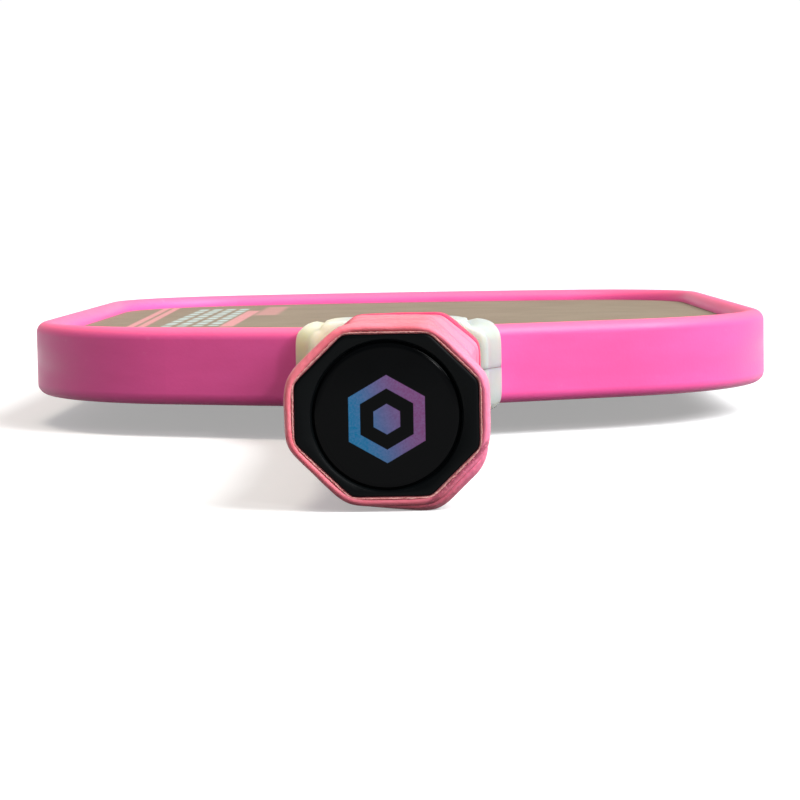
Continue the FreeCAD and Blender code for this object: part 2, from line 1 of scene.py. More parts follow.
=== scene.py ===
"""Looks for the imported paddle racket: wrapped handle, moulded collar, cap and guard, printed composite face.

Shapes are drawn in millimetres in the paddle's own design frame: x across, y from the butt to the tip, z up
from the handle's axis. place() puts them in the row frame, in metres. Materials that change from place to
place read the same design frame.
"""

import math

import bpy
from mathutils import Matrix, Vector, noise


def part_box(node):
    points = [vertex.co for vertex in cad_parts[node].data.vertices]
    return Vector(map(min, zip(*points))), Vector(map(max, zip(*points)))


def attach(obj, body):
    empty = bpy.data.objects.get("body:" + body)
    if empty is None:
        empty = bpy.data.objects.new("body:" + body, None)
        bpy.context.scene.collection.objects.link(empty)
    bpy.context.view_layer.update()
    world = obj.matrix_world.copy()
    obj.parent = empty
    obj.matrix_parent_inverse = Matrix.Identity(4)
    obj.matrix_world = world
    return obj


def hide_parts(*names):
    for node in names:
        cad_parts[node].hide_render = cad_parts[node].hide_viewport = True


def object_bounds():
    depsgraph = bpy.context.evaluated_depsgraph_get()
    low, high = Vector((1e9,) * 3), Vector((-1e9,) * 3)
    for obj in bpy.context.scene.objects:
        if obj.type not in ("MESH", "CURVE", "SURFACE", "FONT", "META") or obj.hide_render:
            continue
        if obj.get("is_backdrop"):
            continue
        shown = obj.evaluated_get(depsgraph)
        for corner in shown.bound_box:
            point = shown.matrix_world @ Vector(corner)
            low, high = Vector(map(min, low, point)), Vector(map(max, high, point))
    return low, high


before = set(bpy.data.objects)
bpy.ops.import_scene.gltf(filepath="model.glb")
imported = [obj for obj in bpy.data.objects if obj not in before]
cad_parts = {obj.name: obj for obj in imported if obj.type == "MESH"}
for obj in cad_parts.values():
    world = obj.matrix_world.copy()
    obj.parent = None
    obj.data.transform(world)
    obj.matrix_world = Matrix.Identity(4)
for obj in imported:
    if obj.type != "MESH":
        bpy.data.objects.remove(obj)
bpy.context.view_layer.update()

MM = 0.001
TURN = 2 * math.pi
BUTT_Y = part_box("butt_cap")[0][1]
AXIS_Z = (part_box("butt_cap")[0][2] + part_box("butt_cap")[1][2]) / 2
SHOULDER_Y = (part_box("edge_guard")[0][1] - BUTT_Y) / MM
HALF_PANEL = (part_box("front_face_sheet")[1][2] - AXIS_Z) / MM
GRIP_END = (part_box("overgrip")[1][1] - BUTT_Y) / MM


def place(x, y, z):
    """A point of the design frame, in millimetres, as a point of the row frame, in metres."""
    return Vector((x * MM, BUTT_Y + y * MM, AXIS_Z + z * MM))


def mix(a, b, share):
    return a + (b - a) * share


def smooth(low, high, value):
    """0 below low, 1 above high, and an even S between."""
    share = min(max((value - low) / (high - low), 0.0), 1.0)
    return share * share * (3 - 2 * share)


# ---------------------------------------------------------------- octagonal sections of the handle

# Where the handle's section changes, from the butt's face.
CAP_STRAIGHT = 5.0
CAP_LENGTH = 22.0
HANDLE_START = 30.0
FLARE_START = 84.0

# Half width, half height, half of the top flat and half of the cheek.
CAP = (16.65, 14.65, 7.8, 6.0)
SKIRT = (15.55, 13.05, 7.6, 4.85)
HANDLE = (14.75, 12.25, 7.25, 4.5)
NECK = (17.0, 10.8, 10.5, 5.5)
STATIONS = (
    (0.0, CAP),
    (CAP_STRAIGHT, CAP),
    (CAP_LENGTH, SKIRT),
    (HANDLE_START, HANDLE),
    (FLARE_START, HANDLE),
    (GRIP_END, NECK),
)

SUNK_BUTT = 0.9  # how far the lower left bevel is sunk at the butt
BUTT_FADE = (4.0, 26.0)
SUNK_NECK = 1.6  # how far the upper left bevel is sunk at the neck
NECK_FADE = (80.0, GRIP_END - 8.0)

ROUND_STEPS = 192  # points in one ring round the handle
CRISP = 60  # softness of an octagon whose corners are nearly sharp


def section_at(y):
    """The bare handle's octagon at a place along it."""
    for (y_low, low), (y_high, high) in zip(STATIONS, STATIONS[1:]):
        if y <= y_high:
            share = smooth(y_low, y_high, y)
            return tuple(mix(a, b, share) for a, b in zip(low, high))
    return NECK


def sunk_at(y):
    """How far the lower left and the upper left bevel are sunk at a place along the handle."""
    return SUNK_BUTT * (1 - smooth(*BUTT_FADE, y)), SUNK_NECK * smooth(*NECK_FADE, y)


def octagon_radius(angle, section, grow, softness, sunk=(0.0, 0.0)):
    """Distance from the axis to an octagon's outline, grown by grow. Less softness gives rounder corners."""
    half_width, half_height, half_flat, half_side = section
    across, up = half_width - half_flat, half_height - half_side
    bevel_angle = math.atan2(across, up)
    bevel_reach = (half_flat * up + half_height * across) / math.hypot(across, up)
    walls = (
        (0, half_width),
        (math.pi / 2, half_height),
        (math.pi, half_width),
        (-math.pi / 2, half_height),
        (bevel_angle, bevel_reach),
        (-bevel_angle, bevel_reach),
        (math.pi + bevel_angle, bevel_reach - sunk[0]),
        (math.pi - bevel_angle, bevel_reach - sunk[1]),
    )
    total = 0.0
    for wall_angle, reach in walls:
        lean = math.cos(angle - wall_angle)
        if lean > 0:
            total += (lean / (reach + grow)) ** softness
    return total ** (-1 / softness)


def at_angle(angle, radius, y):
    """The point at an angle round the handle's axis."""
    return place(radius * math.cos(angle), y, radius * math.sin(angle))


def round_points(y, angles, radius_at):
    """Points round the axis at one place along the handle."""
    return [at_angle(angle, radius_at(angle), y) for angle in angles]


def full_turn(steps):
    return [TURN * step / steps for step in range(steps)]


def handle_ring(y, grow, softness=30, wobble=None):
    """One octagonal ring round the handle. wobble(angle, y) adds to grow."""

    def radius_at(angle):
        here = grow + wobble(angle, y) if wobble else grow
        return octagon_radius(angle, section_at(y), here, softness, sunk_at(y))

    return round_points(y, full_turn(ROUND_STEPS), radius_at)


# ---------------------------------------------------------------- mesh helpers


def new_piece(name, verts, faces, material, *replaced, slot):
    """A smooth mesh piece that rides on the paddle."""
    mesh = bpy.data.meshes.new(name)
    mesh.from_pydata(verts, [], faces)
    mesh.validate()
    for polygon in mesh.polygons:
        polygon.use_smooth = True
    piece = bpy.data.objects.new(name, mesh)
    bpy.context.scene.collection.objects.link(piece)
    piece.data.materials.append(material)
    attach(piece, "root")
    if replaced:
        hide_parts(*replaced)


def skin(rings, closed_round=True, looped=False, caps=False):
    """Vertices and faces of a surface through rings of equal length."""
    count = len(rings[0])
    verts = [point for ring in rings for point in ring]
    faces = []
    spans = len(rings) if looped else len(rings) - 1
    columns = count if closed_round else count - 1
    for i in range(spans):
        base, above = i * count, ((i + 1) % len(rings)) * count
        for j in range(columns):
            k = (j + 1) % count
            faces.append((base + j, base + k, above + k, above + j))
    if caps:
        faces.append(tuple(range(count))[::-1])
        last = (len(rings) - 1) * count
        faces.append(tuple(last + j for j in range(count)))
    return verts, faces


# ---------------------------------------------------------------- node materials


def linear(red, green, blue):
    """A colour given as 0 to 255 screen values, in linear light."""
    channels = []
    for value in (red, green, blue):
        share = value / 255
        channels.append(share / 12.92 if share <= 0.04045 else ((share + 0.055) / 1.055) ** 2.4)
    return (*channels, 1.0)


TONES = {
    "guard_deep": linear(243, 88, 160),
    "guard_bright": linear(251, 96, 170),
    # painted highlight colour for the guard's top
    "guard_painted_top_light": linear(252, 106, 150),
    "guard_scuff": linear(255, 150, 196),
    "wrap_dark": linear(236, 110, 124),
    "wrap_light": linear(246, 128, 142),
    "wrap_pale": linear(253, 184, 190),
    # painted light colour for the strip's right side
    "wrap_painted_right_light": linear(250, 134, 172),
    # painted shade colour for the strip's underside
    "wrap_painted_underside_shade": linear(150, 66, 84),
    "wrap_pressed": linear(138, 58, 78),
    # painted shade colour for the strip's creases
    "wrap_painted_crease_shade": linear(150, 62, 76),
    "cushion_dark": linear(150, 74, 80),
    "cushion_light": linear(176, 92, 98),
    "cushion_pale": linear(206, 140, 140),
    "band_dark": linear(228, 48, 90),
    "band_light": linear(236, 60, 104),
    "band_pale": linear(246, 104, 138),
    "thread_dark": linear(196, 104, 104),
    "thread_light": linear(238, 180, 172),
    "collar_low": linear(178, 186, 180),
    "collar_high": linear(186, 194, 190),
    # painted light colour for the collar's left side
    "collar_painted_left_light": linear(252, 236, 196),
    "collar_speck": linear(176, 166, 150),
    "cap_black": linear(5, 7, 8),
    "cap_dust": linear(90, 80, 82),
    "badge_black": linear(3, 4, 5),
    "badge_dust": linear(80, 72, 66),
    "emblem_blue": linear(20, 112, 156),
    "emblem_mauve": linear(118, 68, 114),
    "emblem_fleck": linear(130, 130, 180),
    "face_deep": linear(130, 116, 99),
    "face_light": linear(140, 126, 108),
    "face_weave": linear(96, 88, 74),
    "face_grit": linear(188, 178, 158),
    "print_pink": linear(222, 148, 154),
    "print_pale": linear(184, 206, 204),
    "core_low": linear(226, 226, 218),
    "core_high": linear(244, 244, 238),
    "foam_deep": linear(160, 150, 124),
    "foam_light": linear(214, 206, 182),
    "tape_deep": linear(190, 190, 184),
    "tape_light": linear(232, 232, 228),
    "scale_deep": linear(20, 20, 21),
    "scale_light": linear(44, 44, 46),
    "film_deep": linear(150, 126, 84),
    "film_light": linear(176, 150, 104),
    "steel_deep": linear(150, 150, 152),
    "steel_light": linear(215, 215, 215),
}
SPREAD = (0.3, 0.7)  # where most of a noise's values lie


class Surface:
    """A principled material whose nodes are made by short calls."""

    def __init__(self, name, roughness, specular, **values):
        self.material = bpy.data.materials.new(name)
        self.material.use_nodes = True
        self.tree = self.material.node_tree
        self.shader = self.tree.nodes["Principled BSDF"]
        self.shader.inputs["Roughness"].default_value = roughness
        self.shader.inputs["Specular IOR Level"].default_value = specular
        for socket, value in values.items():
            self.shader.inputs[socket.replace("_", " ")].default_value = value
        self.coords = self.tree.nodes.new("ShaderNodeTexCoord").outputs["Object"]

    def add(self, kind, settings=None, **inputs):
        """A new node. An input is given by its name, or as _0, _1 and so on by its number."""
        node = self.tree.nodes.new(kind)
        for key, value in (settings or {}).items():
            setattr(node, key, value)
        for socket, value in inputs.items():
            self.feed(node.inputs[int(socket[1:])] if socket[1:].isdigit() else node.inputs[socket], value)
        return node

    def feed(self, socket, value):
        if isinstance(value, bpy.types.NodeSocket):
            self.tree.links.new(value, socket)
        else:
            socket.default_value = value

    def math(self, operation, first, second=0.0):
        return self.add("ShaderNodeMath", {"operation": operation}, _0=first, _1=second).outputs[0]

    def times(self, first, *others):
        for other in others:
            first = self.math("MULTIPLY", first, other)
        return first

    def minus(self, first, second):
        return self.math("SUBTRACT", first, second)

    def stretched(self, scale):
        return self.add("ShaderNodeMapping", Vector=self.coords, Scale=scale).outputs[0]

    def noise(self, scale, detail=3.0, rough=0.5, vector=None):
        inputs = {"Vector": vector or self.coords, "Scale": scale, "Detail": detail, "Roughness": rough}
        return self.add("ShaderNodeTexNoise", None, **inputs).outputs[0]

    def cells(self, scale):
        return self.add("ShaderNodeTexVoronoi", None, Vector=self.coords, Scale=scale).outputs["Distance"]

    def remap(self, value, low, high, to_low=0.0, to_high=1.0):
        inputs = {"_0": value, "_1": low, "_2": high, "_3": to_low, "_4": to_high}
        return self.add("ShaderNodeMapRange", {"interpolation_type": "SMOOTHSTEP"}, **inputs).outputs[0]

    def band(self, value, low, high, soft):
        """1 where value lies between low and high, fading over soft at each end."""
        rise = self.remap(value, low - soft, low + soft)
        fall = self.remap(value, high - soft, high + soft, 1.0, 0.0)
        return self.times(rise, fall)

    def blend(self, share, first, second):
        """A mix of two colours, each a socket or the name of a tone."""
        node = self.add("ShaderNodeMix", {"data_type": "RGBA"})
        self.feed(node.inputs[0], share)
        self.feed(node.inputs[6], TONES[first] if isinstance(first, str) else first)
        self.feed(node.inputs[7], TONES[second] if isinstance(second, str) else second)
        return node.outputs[2]

    def colour(self, value):
        self.feed(self.shader.inputs["Base Color"], value)

    def roughness(self, value):
        self.feed(self.shader.inputs["Roughness"], value)

    def bump(self, height, distance, strength=1.0, under=None):
        node = self.add("ShaderNodeBump", None, Height=height, Distance=distance, Strength=strength)
        if under:
            self.feed(node.inputs["Normal"], under)
        return node.outputs[0]

    def normal(self, value):
        self.feed(self.shader.inputs["Normal"], value)

    def millimetres(self):
        """Position in the design frame: across, along and above the handle's axis."""
        x, y, z = self.add("ShaderNodeSeparateXYZ", Vector=self.coords).outputs
        from_start = x, self.minus(y, BUTT_Y), self.minus(z, AXIS_Z)
        return tuple(self.times(value, 1 / MM) for value in from_start)


def guard_material():
    """Hot pink moulded guard: faint flow marks, a painted highlight that makes it paler and less blue near its
    top, and pale scuffs.
    """
    surface = Surface("guard_pink", 0.4, 0.3, Subsurface_Weight=0.1, Subsurface_Scale=0.003)
    surface.shader.inputs["Subsurface Radius"].default_value = (1.0, 0.35, 0.5)
    flow = surface.noise(22.0, 5.0, 0.6, surface.stretched((1.0, 0.5, 4.0)))
    tone = surface.blend(surface.remap(flow, *SPREAD), "guard_deep", "guard_bright")
    height = surface.millimetres()[2]
    # Painted highlight: paler and less blue towards the rim's top, where the light from above falls.
    tone = surface.blend(surface.remap(height, 6.6, 9.2), tone, "guard_painted_top_light")
    scuffs = surface.noise(240.0, 4.0, 0.7, surface.stretched((1.0, 0.15, 1.0)))
    worn = surface.times(surface.remap(scuffs, 0.62, 0.8), 0.25)
    surface.colour(surface.blend(worn, tone, "guard_scuff"))
    surface.roughness(surface.remap(flow, *SPREAD, 0.36, 0.5))
    grain = surface.bump(surface.noise(1400.0, 2.0), 0.00005, 0.6)
    surface.normal(surface.bump(surface.noise(70.0, 3.0), 0.0004, 0.25, grain))
    return surface.material


STRIP_PITCH = 19.0  # what each turn of the wound strip moves along the handle
SEAM = (0.485, 0.5)  # where the crease lies, as shares of a turn
SEAM_SOFT = 0.012


def crease_shade_mask(surface):
    """1 in the crease beside each turn of the wound strip, where shade is painted, 0 elsewhere."""
    across, along, height = surface.millimetres()
    angle = surface.math("ARCTAN2", height, across)
    along = surface.times(along, 1 / STRIP_PITCH)
    turns = surface.math("ADD", along, surface.math("DIVIDE", angle, TURN))
    share = surface.math("FRACT", surface.math("ADD", turns, 0.5))
    return surface.times(surface.band(share, *SEAM, SEAM_SOFT), surface.remap(along, 0.25, 0.5))


def wound_tones(surface, tone):
    """The wound strip: painted light makes it pinker on its right, painted shade darkens it underneath, it is
    pressed at its start, and painted shade darkens its seams.
    """
    across, along, height = surface.millimetres()
    # Painted light: pinker and lighter towards the right side, where the key light falls.
    tone = surface.blend(surface.remap(across, 4.0, 18.0, 0.0, 0.75), tone, "wrap_painted_right_light")
    # Painted shade: darker towards the bottom, where little light reaches.
    tone = surface.blend(surface.remap(height, -17.0, -8.0, 0.62, 0.0), tone, "wrap_painted_underside_shade")
    low_right = surface.band(surface.minus(across, height), 22.8, 24.2, 0.4)
    at_edge = surface.remap(along, 0.6, 1.2, 1.0, 0.0)
    pressed = surface.remap(surface.cells(1900.0), 0.2, 0.5, 0.1, 0.7)
    tone = surface.blend(surface.times(pressed, low_right, at_edge), tone, "wrap_pressed")
    # Painted shade: the crease beside each turn is darkened.
    return surface.blend(surface.times(crease_shade_mask(surface), 0.55), tone, "wrap_painted_crease_shade")


def wrap_material(name, tones, gloss=0.3, sheen=0.05, wound=False):
    """Tacky strip: pebbled skin, finer pores and faint pale streaks."""
    surface = Surface(name, 0.4, gloss, Sheen_Weight=sheen, Sheen_Roughness=0.5, Subsurface_Weight=0.15)
    surface.shader.inputs["Subsurface Radius"].default_value = (1.0, 0.4, 0.35)
    surface.shader.inputs["Subsurface Scale"].default_value = 0.002
    broad = surface.noise(55.0, 5.0, 0.6)
    tone = surface.blend(surface.remap(broad, 0.32, 0.68), f"{tones}_dark", f"{tones}_light")
    streaks = surface.noise(160.0, 3.0, 0.6, surface.stretched((1.0, 5.0, 1.0)))
    tone = surface.blend(surface.times(surface.remap(streaks, 0.55, 0.8), 0.35), tone, f"{tones}_pale")
    surface.colour(wound_tones(surface, tone) if wound else tone)
    surface.roughness(surface.remap(broad, *SPREAD, 0.38, 0.55))
    pebble = surface.bump(surface.cells(1100.0), 0.00010, 0.7)
    creases = surface.noise(260.0, 5.0, 0.65, surface.stretched((1.0, 2.5, 1.0)))
    surface.normal(surface.bump(creases, 0.00035, 0.55, pebble))
    return surface.material


def fringe_material():
    """Frayed cloth backing."""
    surface = Surface("fringe_pale", 0.8, 0.2, Sheen_Weight=0.5)
    threads = surface.noise(1500.0, 4.0, 0.8)
    surface.colour(surface.blend(surface.remap(threads, *SPREAD), "thread_dark", "thread_light"))
    surface.normal(surface.bump(threads, 0.0002))
    return surface.material


def collar_material():
    """White moulded collar, a little see-through, painted lighter and creamier on its left as if lit there,
    with specks of dirt.
    """
    surface = Surface("collar_white", 0.35, 0.4, Subsurface_Weight=0.85, Subsurface_Scale=0.013)
    surface.shader.inputs["Subsurface Radius"].default_value = (1.0, 0.92, 0.6)
    broad = surface.noise(60.0, 4.0, 0.6)
    tone = surface.blend(surface.remap(broad, 0.35, 0.7), "collar_low", "collar_high")
    across = surface.millimetres()[0]
    # Painted light: lighter and creamier towards the left side.
    tone = surface.blend(surface.remap(across, -21.0, -8.0, 1.0, 0.0), tone, "collar_painted_left_light")
    specks = surface.remap(surface.noise(700.0, 3.0, 0.7), 0.72, 0.8)
    surface.colour(surface.blend(surface.times(specks, 0.25), tone, "collar_speck"))
    surface.roughness(surface.remap(broad, *SPREAD, 0.3, 0.42))
    grain = surface.bump(surface.noise(1300.0, 2.0), 0.00004, 0.6)
    surface.normal(surface.bump(surface.noise(90.0, 2.0), 0.0003, 0.2, grain))
    return surface.material


def cap_material():
    """Black cap: fine spark-eroded grain, with dust in it."""
    surface = Surface("cap_black", 0.34, 0.05)
    dust = surface.remap(surface.noise(1500.0, 4.0, 0.8), 0.68, 0.8)
    surface.colour(surface.blend(surface.times(dust, 0.08), "cap_black", "cap_dust"))
    surface.roughness(surface.remap(surface.noise(120.0), *SPREAD, 0.3, 0.46))
    surface.normal(surface.bump(surface.noise(1800.0, 3.0), 0.00004, 0.7))
    return surface.material


BADGE_Z = -0.6  # how far the emblem sits below the handle's axis
EMBLEM = 6.9  # from the emblem's middle to its flats
EMBLEM_LINE = 2.1
EMBLEM_CORE = 2.4
EMBLEM_SOFT = 0.07
EMBLEM_LEAN = 0.35  # how much the change of colour leans
EMBLEM_SPAN = (-7.0, 6.0)  # where the colour changes, from left to right


def badge_material():
    """Glossy black badge with a plain hexagonal emblem that runs from blue to mauve."""
    surface = Surface("badge_gloss", 0.1, 0.045)
    across, _, height = surface.millimetres()
    height = surface.minus(height, BADGE_Z)
    side = surface.math("ABSOLUTE", across)
    rise = surface.math("ABSOLUTE", height)
    slant = surface.math("ADD", surface.times(rise, math.sqrt(3) / 2), surface.times(side, 0.5))
    reach = surface.math("MAXIMUM", side, slant)
    line = surface.band(reach, EMBLEM - EMBLEM_LINE, EMBLEM, EMBLEM_SOFT)
    core = surface.remap(reach, EMBLEM_CORE - EMBLEM_SOFT, EMBLEM_CORE + EMBLEM_SOFT, 1.0, 0.0)
    emblem = surface.math("MAXIMUM", line, core)
    run = surface.math("ADD", across, surface.times(height, EMBLEM_LEAN))
    ink = surface.blend(surface.remap(run, *EMBLEM_SPAN), "emblem_blue", "emblem_mauve")
    fleck = surface.noise(2600.0, 3.0, 0.7)
    ink = surface.blend(surface.remap(fleck, *SPREAD, 0.0, 0.2), ink, "emblem_fleck")
    dust = surface.remap(surface.noise(1700.0, 4.0, 0.8), 0.7, 0.82, 0.0, 0.12)
    black = surface.blend(dust, "badge_black", "badge_dust")
    surface.colour(surface.blend(emblem, black, ink))
    surface.roughness(surface.remap(surface.noise(200.0), *SPREAD, 0.08, 0.18))
    surface.normal(surface.bump(emblem, 0.00002, 0.5))
    return surface.material


TOW = 2.2  # width of the woven tows

# The print on the front face: ranges across and along the paddle, each with how softly it fades.
PRINT_LEAN = -0.03  # how far the outer pair of stripes leans, per millimetre along
LEAN_FROM = 250.0
OUTER_PAIR = ((-77.2, -75.0), (-74.0, -71.8))
OUTER_RUN = (240.0, 388.0)
STRIPE = (-50.4, -46.6)
STRIPE_RUN = (240.0, 352.0)
PATCH = (-46.0, -39.0)
PATCH_RUN = (316.0, 384.0)
DASHES = (-68.0, -50.4)
DASHES_RUN = (246.0, 372.0)
DASH_PITCH, DASH = 17.0, (0.14, 0.84)
ROW_PITCH, ROW = 4.4, (0.16, 0.8)


def printed_tone(surface, tone, across, along):
    """Adds plain worn stripes, a plain patch and a block of plain dashes."""
    lean = surface.times(surface.minus(along, LEAN_FROM), PRINT_LEAN)
    slanted = surface.minus(across, lean)
    pair = surface.math("MAXIMUM", *(surface.band(slanted, *stripe, 0.5) for stripe in OUTER_PAIR))
    outer = surface.times(pair, surface.band(along, *OUTER_RUN, 3.0))
    stripe = surface.times(surface.band(across, *STRIPE, 0.5), surface.band(along, *STRIPE_RUN, 6.0))
    patch = surface.times(surface.band(across, *PATCH, 1.2), surface.band(along, *PATCH_RUN, 6.0))
    block = surface.times(surface.band(across, *DASHES, 0.8), surface.band(along, *DASHES_RUN, 3.0))
    cell = surface.math("FRACT", surface.math("DIVIDE", along, DASH_PITCH))
    row = surface.math("FRACT", surface.math("DIVIDE", surface.minus(across, DASHES[0]), ROW_PITCH))
    dashes = surface.times(block, surface.band(cell, *DASH, 0.1), surface.band(row, *ROW, 0.14))
    wear = surface.remap(surface.noise(900.0, 4.0, 0.8), 0.3, 0.55, 0.5, 0.9)
    stripes = surface.math("MAXIMUM", outer, stripe)
    tone = surface.blend(surface.times(stripes, wear, 0.8), tone, "print_pink")
    tone = surface.blend(surface.times(patch, wear, 0.5), tone, "print_pink")
    return surface.blend(surface.times(dashes, wear, 0.85), tone, "print_pale")


def face_material(name, printed):
    """Raw composite face: woven tows under a matte peel-ply finish, printed on the front."""
    surface = Surface(name, 0.72, 0.3)
    across, along, _ = surface.millimetres()
    warp = surface.math("SINE", surface.times(surface.math("ADD", across, along), TURN / TOW / 2))
    weft = surface.math("SINE", surface.times(surface.minus(across, along), TURN / TOW))
    weave = surface.times(warp, weft)
    broad = surface.noise(48.0, 6.0, 0.7)
    tone = surface.blend(surface.remap(broad, *SPREAD), "face_deep", "face_light")
    tone = surface.blend(surface.remap(weave, -0.6, 0.6, 0.0, 0.08), tone, "face_weave")
    grit = surface.noise(2200.0, 4.0, 0.75)
    tone = surface.blend(surface.remap(grit, 0.55, 0.75, 0.0, 0.3), tone, "face_grit")
    surface.colour(printed_tone(surface, tone, across, along) if printed else tone)
    surface.roughness(surface.remap(grit, *SPREAD, 0.62, 0.85))
    rough_skin = surface.bump(grit, 0.00008, 0.8)
    surface.normal(surface.bump(weave, 0.00004, 0.5, rough_skin))
    return surface.material


def foam_material(name, tones):
    """Cellular plastic: small open bubbles."""
    surface = Surface(name, 0.85, 0.2)
    bubbles = surface.cells(900.0)
    surface.colour(surface.blend(surface.remap(bubbles, 0.1, 0.6), f"{tones}_deep", f"{tones}_light"))
    surface.normal(surface.bump(bubbles, 0.0002, 0.8))
    return surface.material


def core_material():
    """Extruded honeycomb: milky plastic with drawn lines through its thickness."""
    surface = Surface("core_plastic", 0.4, 0.4, Subsurface_Weight=0.2, Subsurface_Scale=0.002)
    lines = surface.noise(900.0, 3.0, 0.6, surface.stretched((1.0, 1.0, 0.05)))
    surface.colour(surface.blend(surface.remap(lines, *SPREAD), "core_low", "core_high"))
    surface.normal(surface.bump(lines, 0.00005, 0.6))
    return surface.material


def film_material():
    """Amber adhesive film: two close tones, uneven gloss and a fine grain."""
    surface = Surface("film_amber", 0.3, 0.5)
    broad = surface.noise(60.0, 4.0, 0.6)
    surface.colour(surface.blend(surface.remap(broad, 0.35, 0.65), "film_deep", "film_light"))
    surface.roughness(surface.remap(surface.noise(240.0), *SPREAD, 0.255, 0.345))
    surface.normal(surface.bump(surface.noise(900.0, 3.0, 0.6), 0.00004))
    return surface.material


def staple_material():
    """Drawn steel wire."""
    surface = Surface("staple_steel", 0.3, 0.5, Metallic=1.0)
    drawn = surface.noise(1200.0, 3.0, 0.6, surface.stretched((0.1, 1.0, 1.0)))
    surface.colour(surface.blend(drawn, "steel_deep", "steel_light"))
    surface.roughness(surface.remap(drawn, *SPREAD, 0.22, 0.4))
    return surface.material


WRAP = wrap_material("wrap_pink", "wrap", wound=True)
COLLAR = collar_material()
FILM = film_material()
SCALE_FOAM = foam_material("scale_foam", "scale")
STEEL = staple_material()
NODE_MATERIALS = {
    "edge_guard": guard_material(),
    "front_face_sheet": face_material("face_front", True),
    "back_face_sheet": face_material("face_back", False),
    "honeycomb_core": core_material(),
    "perimeter_foam": foam_material("edge_foam", "foam"),
    "guard_bond_tape": foam_material("tape_foam", "tape"),
    "front_adhesive_film": FILM,
    "back_adhesive_film": FILM,
    "handle_scale_front": SCALE_FOAM,
    "handle_scale_back": SCALE_FOAM,
    "cap_staple_front": STEEL,
    "cap_staple_back": STEEL,
}


def dress_nodes():
    """Gives each CAD node that isn't replaced its material."""
    for name, material in NODE_MATERIALS.items():
        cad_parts[name].data.materials.clear()
        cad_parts[name].data.materials.append(material)


# ---------------------------------------------------------------- wrapped handle

GRIP_TOP = GRIP_END - 0.1
WRAP_OUTER = 1.95  # how far the wound strip's outside stands off the bare handle
WRAP_INNER = 1.55
CUSHION = 1.5  # thickness of the base grip
OVERLAP = 0.26  # share of the strip that lies on the turn before it
STEP_HEIGHT = 0.34  # how far the overlapping turn stands up
STEP_RISE = 0.035  # share of a turn over which it rises
STEP_FALL = 0.3  # share of a turn over which it dies away
BUTT_SOFTNESS = 19  # the strip's corners are rounder at the butt
WRAP_SOFTNESS = 34
WRAP_SPACING = 0.5  # between rings of the wound strip

# The strip's roll over the butt's edge, from the inside out: growth of the octagon, place along the handle.
BUTT_ROLL = (
    (0.55, 1.9),
    (0.5, 0.9),
    (0.62, 0.42),
    (0.86, 0.2),
    (1.2, 0.12),
    (1.52, 0.28),
    (1.78, 0.66),
    (1.92, 1.2),
)


def strip_height(angle, y):
    """How far the wound strip stands above its lower layer: sharp on one side, a slow slope on the other."""
    phase = (y + STRIP_PITCH * angle / TURN) / STRIP_PITCH
    share = phase - math.floor(phase)
    step = smooth(0.0, STEP_RISE, share) * (1 - smooth(OVERLAP, OVERLAP + STEP_FALL, share))
    return STEP_HEIGHT * step * smooth(2.0, 9.0, y)


def round_spot(angle, reach, rise):
    """A point to read noise at, which joins up round the handle."""
    return Vector((math.cos(angle) * reach, rise, math.sin(angle) * reach))


def wrap_wobble(angle, y):
    """Slight unevenness of a hand-wound strip."""
    broad, fine = round_spot(angle, 2.2, y * 0.07), round_spot(angle, 7.0, y * 0.3)
    return 0.16 * noise.noise(broad) + 0.05 * noise.noise(fine)


def wound_height(angle, y):
    return strip_height(angle, y) + wrap_wobble(angle, y)


def roll_wobble(angle, y):
    return 0.8 * wrap_wobble(angle, y)


def overgrip():
    """The wound strip: it rolls over the butt's edge, runs up the handle in lapped turns and ends flat."""
    rings = [handle_ring(y, grow, BUTT_SOFTNESS, wobble=roll_wobble) for grow, y in BUTT_ROLL]
    y = 1.8
    while y < GRIP_TOP - 0.4:
        softness = mix(BUTT_SOFTNESS, WRAP_SOFTNESS, smooth(0, HANDLE_START, y))
        rings.append(handle_ring(y, WRAP_OUTER, softness, wobble=wound_height))
        y += WRAP_SPACING
    rings.append(handle_ring(GRIP_TOP - 0.3, WRAP_OUTER, WRAP_SOFTNESS))
    rings.append(handle_ring(GRIP_TOP, WRAP_OUTER - 0.25, WRAP_SOFTNESS))
    rings.append(handle_ring(GRIP_TOP, WRAP_INNER + 0.1, WRAP_SOFTNESS))
    rings.append(handle_ring(GRIP_TOP - 1, WRAP_INNER, WRAP_SOFTNESS))
    for y in (90.0, HANDLE_START, CAP_LENGTH, CAP_STRAIGHT, 2.5):
        rings.append(handle_ring(y, WRAP_INNER, CRISP))
    new_piece("overgrip_wound", *skin(rings, looped=True), WRAP, "overgrip", slot="overgrip")


def base_grip():
    """The cushion layer under the strip; only its end shows round the cap."""

    def ragged(angle, at):
        return 0.04 * noise.noise(round_spot(angle, 30, at))

    rings = []
    for y, grow in ((0.9, 0.5), (0.5, 0.3), (0.42, 0.12), (0.5, 0.04), (1.2, 0.02)):
        rings.append(handle_ring(y, grow, CRISP, wobble=ragged))
    for y in (CAP_STRAIGHT, CAP_LENGTH, HANDLE_START, FLARE_START, GRIP_TOP - 0.2):
        rings.append(handle_ring(y, 0.02, CRISP))
    for y in (GRIP_TOP - 0.2, FLARE_START, HANDLE_START, CAP_LENGTH, CAP_STRAIGHT, 1.5):
        rings.append(handle_ring(y, CUSHION, CRISP))
    material = wrap_material("cushion_pink", "cushion")
    new_piece("base_grip_cushion", *skin(rings, looped=True), material, "base_grip", slot="base_grip")


FRINGE_STEPS = 420
FRINGE_SIDES = 8
FRINGE_Y = 0.42


